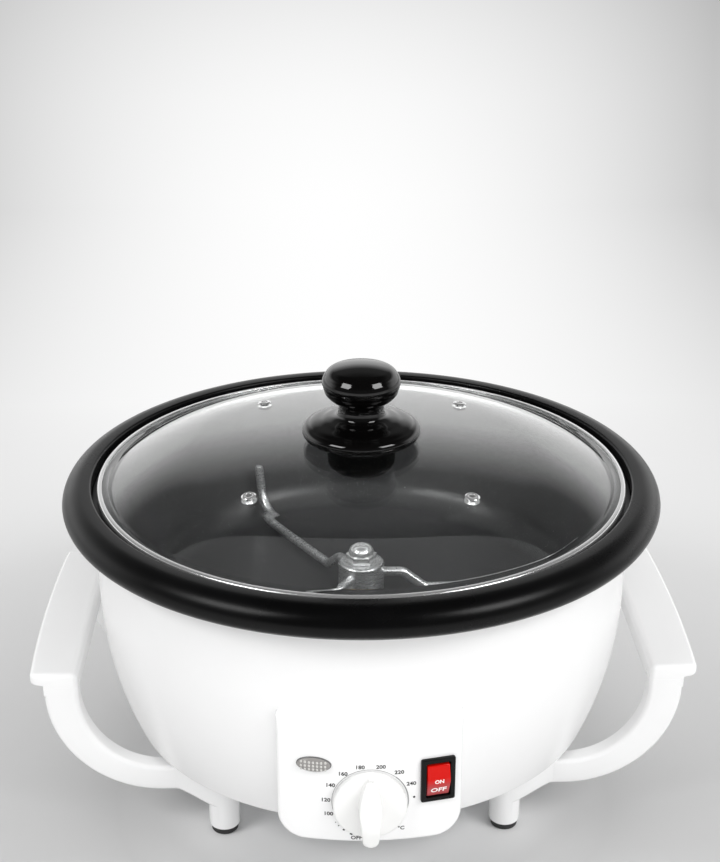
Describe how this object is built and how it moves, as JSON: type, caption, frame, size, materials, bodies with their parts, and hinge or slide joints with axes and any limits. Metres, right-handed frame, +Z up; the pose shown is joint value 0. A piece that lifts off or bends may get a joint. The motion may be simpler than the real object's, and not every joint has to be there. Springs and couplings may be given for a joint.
{
  "type": "home coffee bean roaster",
  "caption": "Countertop coffee bean roaster: white bowl on short legs, two side handles, black rim, stirred pan under a glass lid with knob, front panel with dial, lamp and rocker switch.",
  "frame": {"origin": "on the ground under the middle of the bounding box, below the pan's axis but for the panel's reach in front", "axes": "+Z up, -Y towards the control panel, +X to the viewer's right"},
  "size_m": [0.31, 0.2862, 0.2125],
  "materials": {
    "white_shell": "gloss",
    "white_knob": "satin",
    "black_rim": "satin",
    "pan_coating": "satin non-stick coating",
    "lid_glass": "clear",
    "bright_steel": "polished",
    "black_knob": "gloss",
    "black_boss": "satin",
    "soft_gasket": "matt",
    "foot_rubber": "matt",
    "screw_steel": "zinc plated",
    "sheet_steel": "galvanised",
    "shaft_steel": "ground",
    "bronze": "machined",
    "copper": "drawn",
    "cast_plate": "as cast",
    "element_sheath": "oxidised",
    "motor_dark": "satin",
    "switch_black": "satin",
    "rocker_red": "gloss, lit from behind",
    "lamp_clear": "dotted clear plastic",
    "neon_orange": "clear",
    "ceramic_white": "matt",
    "gland_black": "satin"
  },
  "bodies": {
    "machine": {"outer_housing": "white_shell", "control_box": "white_shell", "handle_left": "white_shell", "handle_right": "white_shell", "leg_front_left": "white_shell", "leg_front_right": "white_shell", "leg_rear_left": "white_shell", "leg_rear_right": "white_shell", "rim_ring": "black_rim", "roasting_pan": "pan_coating", "foot_pads": "foot_rubber", "base_screws": "screw_steel", "box_screws": "screw_steel", "bracket_screws": "screw_steel", "handle_screws": "screw_steel", "leg_screws": "screw_steel", "motor_screws": "screw_steel", "tie_nuts": "screw_steel", "thermostat_nut": "screw_steel", "tie_rods": "screw_steel", "spacer_tubes": "sheet_steel", "base_plate": "sheet_steel", "heat_shield": "sheet_steel", "motor_bracket": "sheet_steel", "motor_cover": "sheet_steel", "heater_clamps": "sheet_steel", "bulb_clip": "sheet_steel", "fuse_clip": "sheet_steel", "lamp_clip": "sheet_steel", "shaft_bush": "bronze", "bush_nut": "bronze", "heater_plate": "cast_plate", "heating_element": "element_sheath", "motor_case": "motor_dark", "thermostat_body": "ceramic_white", "thermostat_bulb": "copper", "switch_housing": "switch_black", "switch_terminals": "bronze", "lamp_lens": "lamp_clear", "lamp_bulb": "neon_orange", "cord_gland": "gland_black", "terminal_block": "ceramic_white", "thermal_fuse": "bright_steel"},
    "lid": {"lid_glass": "lid_glass", "lid_band": "bright_steel", "vent_eyelets": "bright_steel", "lid_knob_cap": "black_knob", "lid_knob_body": "black_knob", "lid_knob_gasket": "soft_gasket", "lid_knob_retainer": "black_boss", "lid_knob_screw": "screw_steel"},
    "stirrer": {"motor_shaft": "shaft_steel", "shaft_coupler": "shaft_steel", "drive_shaft": "shaft_steel", "stirrer_hub": "shaft_steel", "stirrer_arms": "shaft_steel", "stirrer_nut": "bright_steel"},
    "dial": {"thermostat_shaft": "shaft_steel", "thermostat_knob": "white_knob"},
    "rocker": {"switch_rocker": "rocker_red"}
  },
  "joints": [
    {"name": "lid_lift", "type": "slide", "parent": "machine", "child": "lid", "axis": [0, 0, 1], "range_m": [0, 0.12]},
    {"name": "stirrer_spin", "type": "hinge", "parent": "machine", "child": "stirrer", "pos_m": [0, 0.00235, 0.1], "axis": [0, 0, 1], "continuous": true},
    {"name": "dial_turn", "type": "hinge", "parent": "machine", "child": "dial", "pos_m": [0, -0.12765, 0.0634], "axis": [0, 1, 0], "range_deg": [0, 265]},
    {"name": "rocker_tip", "type": "hinge", "parent": "machine", "child": "rocker", "pos_m": [0.02803, -0.12152, 0.0728], "axis": [0.9753, 0.2207, 0], "range_deg": [-14, 0]}
  ]
}
